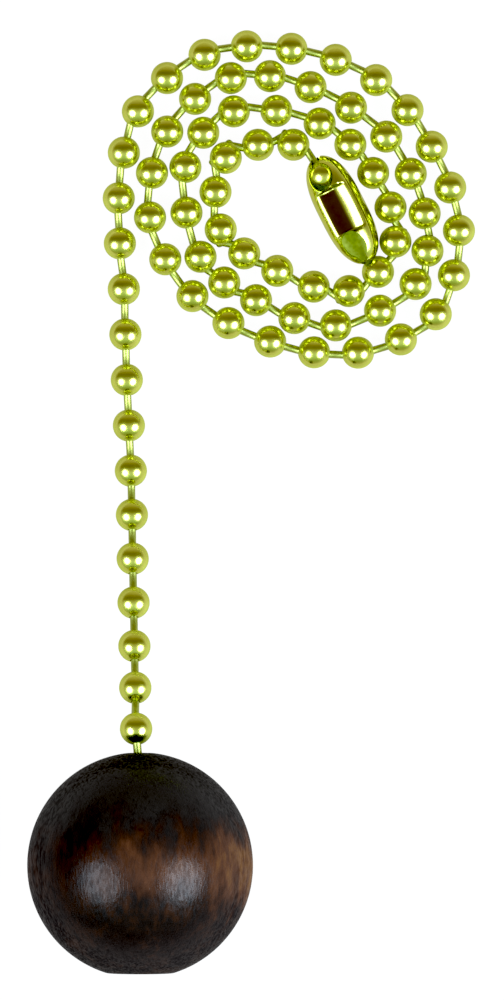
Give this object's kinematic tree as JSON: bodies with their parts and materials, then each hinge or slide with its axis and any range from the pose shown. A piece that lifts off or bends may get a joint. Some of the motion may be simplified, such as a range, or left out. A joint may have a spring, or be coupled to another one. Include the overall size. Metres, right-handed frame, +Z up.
{
  "type": "lamp pull chain with wooden ball",
  "caption": "Loose pull chain for a lamp or ceiling fan: a coiled brass bead chain with a dark turned wooden ball at one end and a stamped brass connector at the other.",
  "frame": {"origin": "on the table, below the middle of the box round the chain as it lies", "axes": "+Z up from the table, +Y from the wooden ball along the straight stretch of chain, +X towards the coil"},
  "size_m": [0.0442, 0.093, 0.022],
  "materials": {
    "brass": "polished and lacquered, greenish yellow",
    "wood": "turned, stained dark brown, satin lacquer"
  },
  "bodies": {
    "root": {"wooden_ball": "wood", "chain_run_01": "brass", "chain_run_02": "brass", "chain_run_03": "brass", "chain_run_04": "brass", "chain_run_05": "brass", "chain_run_06": "brass", "chain_run_07": "brass", "chain_run_08": "brass", "chain_run_09": "brass", "chain_run_10": "brass", "chain_run_11": "brass", "chain_run_12": "brass", "chain_run_13": "brass", "chain_run_14": "brass", "chain_run_15": "brass", "chain_run_16": "brass", "chain_run_17": "brass", "chain_run_18": "brass", "chain_run_19": "brass", "chain_run_20": "brass", "chain_run_21": "brass", "chain_run_22": "brass", "chain_run_23": "brass", "chain_run_24": "brass", "chain_run_25": "brass", "chain_run_26": "brass", "chain_run_27": "brass", "chain_run_28": "brass", "chain_run_29": "brass", "chain_run_30": "brass", "chain_run_31": "brass", "chain_run_32": "brass", "chain_run_33": "brass", "chain_run_34": "brass", "chain_run_35": "brass", "chain_run_36": "brass", "chain_run_37": "brass", "connector": "brass"}
  },
  "joints": []
}
